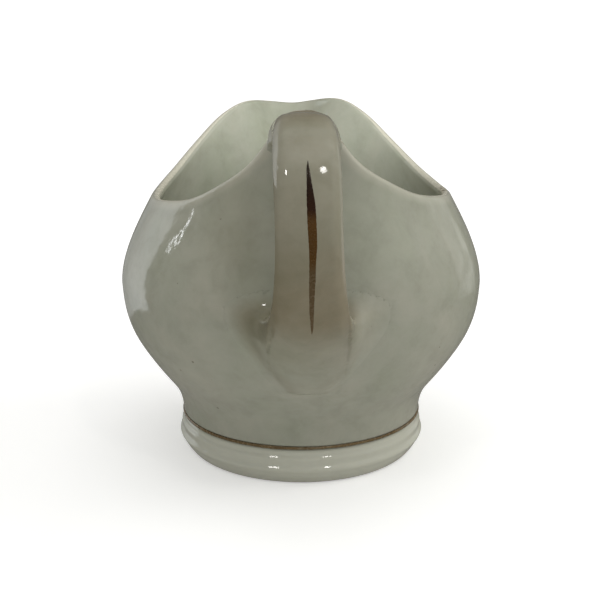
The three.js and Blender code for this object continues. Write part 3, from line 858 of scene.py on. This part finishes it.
# ------------------------------------------------------------------ stage, lights and camera
def stage_material():
    """Matt studio paper, lit a little from beneath and more the farther it is from the jug."""
    m, t, b = start_material("studio_paper")
    L = t.links.new
    pos = t.nodes.new("ShaderNodeTexCoord").outputs["Object"]
    far = t.nodes.new("ShaderNodeVectorMath")
    far.operation = "LENGTH"
    L(pos, far.inputs[0])
    glow = t.nodes.new("ShaderNodeMapRange")
    glow.interpolation_type = "SMOOTHSTEP"
    for key, value in (("From Min", 0.03), ("From Max", 0.4), ("To Min", 0.4), ("To Max", 0.6)):
        glow.inputs[key].default_value = value
    L(far.outputs["Value"], glow.inputs["Value"])
    b.inputs["Base Color"].default_value = (0.86, 0.86, 0.855, 1)
    b.inputs["Roughness"].default_value = 0.8
    b.inputs["Specular IOR Level"].default_value = 0.1
    b.inputs["Emission Color"].default_value = (1, 1, 1, 1)
    seen = t.nodes.new("ShaderNodeLightPath").outputs["Is Camera Ray"]
    L(maths(t, "MULTIPLY", glow.outputs[0], seen), b.inputs["Emission Strength"])
    return m


def build_sweep():
    """A pale floor that curves up into a backdrop behind the jug."""
    prof = [(-1.6, 0.0), (-0.5, 0.0), (0.3, 0.0), (0.62, 0.0)]
    for i in range(1, 13):
        f = math.pi / 2 * i / 12
        prof.append((0.62 + 0.45 * math.sin(f), 0.45 * (1 - math.cos(f))))
    prof += [(1.07, 1.0), (1.07, 1.8)]
    xs = (-1.9, -0.9, 0, 0.9, 1.9)
    v = [(x, y, z) for y, z in prof for x in xs]
    f = [(i * 5 + j, i * 5 + j + 1, (i + 1) * 5 + j + 1, (i + 1) * 5 + j) for i in range(len(prof) - 1) for j in range(4)]
    me = bpy.data.meshes.new("studio_sweep")
    me.from_pydata(v, [], f)
    me.polygons.foreach_set("use_smooth", [True] * len(me.polygons))
    me.materials.append(stage_material())
    o = bpy.data.objects.new("studio_sweep", me)
    bpy.context.scene.collection.objects.link(o)
    o.visible_glossy = False
    return o


build_sweep()


def area(name, at, aim, size, power, colour=(1, 1, 1), glossy=True):
    d = bpy.data.lights.new(name, "AREA")
    d.shape = "RECTANGLE"
    d.size, d.size_y = size
    d.energy = power
    d.color = colour
    o = bpy.data.objects.new(name, d)
    o.location = at
    o.rotation_mode = "QUATERNION"
    o.rotation_quaternion = (Vector(aim) - Vector(at)).to_track_quat("-Z", "Y")
    o.visible_camera = False
    o.visible_glossy = glossy
    bpy.context.scene.collection.objects.link(o)
    return o


area("soft_top", (0.0, -0.05, 1.0), (0, 0, 0.05), (0.8, 0.8), 2.5, (1.0, 0.995, 0.98), glossy=False)
area("soft_right", (0.78, 0.05, 0.5), (0, 0, 0.05), (0.4, 0.5), 1.9, (1.0, 0.995, 0.97), glossy=False)
area("soft_inside", (0.003, 0.0092, 0.086), (0.003, 0.06, 0.088), (0.03, 0.018), 0.0098, (0.97, 1.0, 1.0), glossy=False)
area("lamp_a", (-0.39, -0.60, 0.82), (0, 0, 0.05), (0.09, 0.08), 0.5, (1, 0.98, 0.95))
area("lamp_b", (0.317, -0.596, 0.85), (0, 0, 0.05), (0.09, 0.08), 0.5, (1, 0.98, 0.95))
area("lamp_c", (-0.9, 0.24, 0.41), (0, 0, 0.05), (0.012, 0.06), 0.03, (0.95, 0.97, 1.0))


def build_flag():
    """A small black card beside the strap, seen only by the glaze: it shades the window from the strap's left edge."""
    c, u, v = Vector((-0.017, -0.052 + SHIFT_Y * 0.001, 0.054)), Vector((0.0046, 0.0066, 0)), Vector((0, 0, 0.02))
    me = bpy.data.meshes.new("black_card")
    me.from_pydata([c - u - v, c + u - v, c + u + v, c - u + v], [], [(0, 1, 2, 3)])
    m, t, b = start_material("black_card")
    b.inputs["Base Color"].default_value = (0.12, 0.1, 0.08, 1)
    b.inputs["Roughness"].default_value = 0.9
    me.materials.append(m)
    o = bpy.data.objects.new("black_card", me)
    bpy.context.scene.collection.objects.link(o)
    o.visible_camera = o.visible_diffuse = o.visible_shadow = o.visible_transmission = False
    return o


build_flag()


def world_light():
    """Soft light that is a little stronger from the right and from above; what the glaze mirrors is a dim room with a
    tall window at the left, a paler wall at the right and a strip of ceiling."""
    world = bpy.data.worlds.new("studio")
    bpy.context.scene.world = world
    world.use_nodes = True
    t = world.node_tree
    L = t.links.new
    ray = t.nodes.new("ShaderNodeTexCoord").outputs["Generated"]
    sep = t.nodes.new("ShaderNodeSeparateXYZ")
    L(ray, sep.inputs[0])
    x, y, z = sep.outputs
    az = maths(t, "MULTIPLY", maths(t, "ARCTAN2", x, y), 180 / math.pi)
    el = maths(t, "MULTIPLY", maths(t, "ARCSINE", z), 180 / math.pi)

    def rise(v, a, b, lo=0.0, hi=1.0):
        r = t.nodes.new("ShaderNodeMapRange")
        r.interpolation_type = "SMOOTHSTEP"
        for key, value in (("From Min", a), ("From Max", b), ("To Min", lo), ("To Max", hi)):
            r.inputs[key].default_value = value
        L(v, r.inputs["Value"])
        return r.outputs[0]

    def patch(a0, a1, a2, a3, e0, e1, e2, e3):
        f = maths(t, "MULTIPLY", rise(az, a0, a1), rise(az, a2, a3, 1, 0))
        return maths(t, "MULTIPLY", f, maths(t, "MULTIPLY", rise(el, e0, e1), rise(el, e2, e3, 1, 0)))

    def plus(colour, mask, strength, tint):
        s = t.nodes.new("ShaderNodeVectorMath")
        s.operation = "MULTIPLY_ADD"
        s.inputs[1].default_value = tuple(c * strength for c in tint)
        L(mask, s.inputs[0])
        if isinstance(colour, tuple):
            s.inputs[2].default_value = colour
        else:
            L(colour, s.inputs[2])
        return s.outputs[0]

    soft = plus((0.415, 0.415, 0.405), x, 0.09, (1, 1, 0.98))
    soft = plus(soft, y, 0.03, (1, 1, 1))
    soft = plus(soft, z, 0.07, (0.98, 1, 1))

    room = plus((0.13, 0.125, 0.11), rise(el, -60, 70), 0.10, (0.97, 1, 0.98))
    fade = rise(az, -66, -28, 1.0, 0.2)
    room = plus(room, maths(t, "MULTIPLY", patch(-66.5, -64.5, -24, -14, -19, -17, 27, 34), fade), 1.3, (0.93, 0.97, 1.0))
    mottled = ramp(t, noise(t, ray, 9, 3, 0.6), [(0.4, (0.45,) * 3), (0.6, (1.2,) * 3)])
    room = plus(room, maths(t, "MULTIPLY", patch(40, 44, 66, 67.3, -16, -8, 18, 22), mottled), 0.42, (1, 1, 0.97))
    room = plus(room, patch(66, 68, 120, 135, 8, 30, 60, 74), 0.38, (0.98, 1, 0.97))
    room = plus(room, rise(el, 58, 64, 0, 1), 0.2, (0.98, 1, 0.98))
    room = plus(room, rise(el, 80, 84, 0, 1), -0.24, (0.98, 1, 0.98))
    room = plus(room, rise(el, -10, -50, 0, 1), 0.14, (1, 0.95, 0.85))

    path = t.nodes.new("ShaderNodeLightPath")
    seen = mix_colour(t, path.outputs["Is Glossy Ray"], soft, room)
    seen = mix_colour(t, path.outputs["Is Camera Ray"], seen, (0.93, 0.93, 0.925))
    L(seen, t.nodes["Background"].inputs[0])
    t.nodes["Background"].inputs[1].default_value = 1.0


world_light()

cam_data = bpy.data.cameras.new("view")
cam = bpy.data.objects.new("view", cam_data)
bpy.context.scene.collection.objects.link(cam)
cam.location = (-0.00806, -0.21985 + SHIFT_Y * 0.001, 0.0916)
cam.rotation_mode = "QUATERNION"
cam.rotation_quaternion = (Vector((0, SHIFT_Y * 0.001, 0.0365)) - cam.location).to_track_quat("-Z", "Y")
cam_data.sensor_width = 36.0
cam_data.lens = 878.0 * 36.0 / 606.0
cam_data.clip_start, cam_data.clip_end = 0.01, 20
cam_data.shift_x = -1.0 / 606
bpy.context.scene.camera = cam
bpy.context.scene.view_settings.view_transform = "Standard"
bpy.context.scene.view_settings.look = "None"
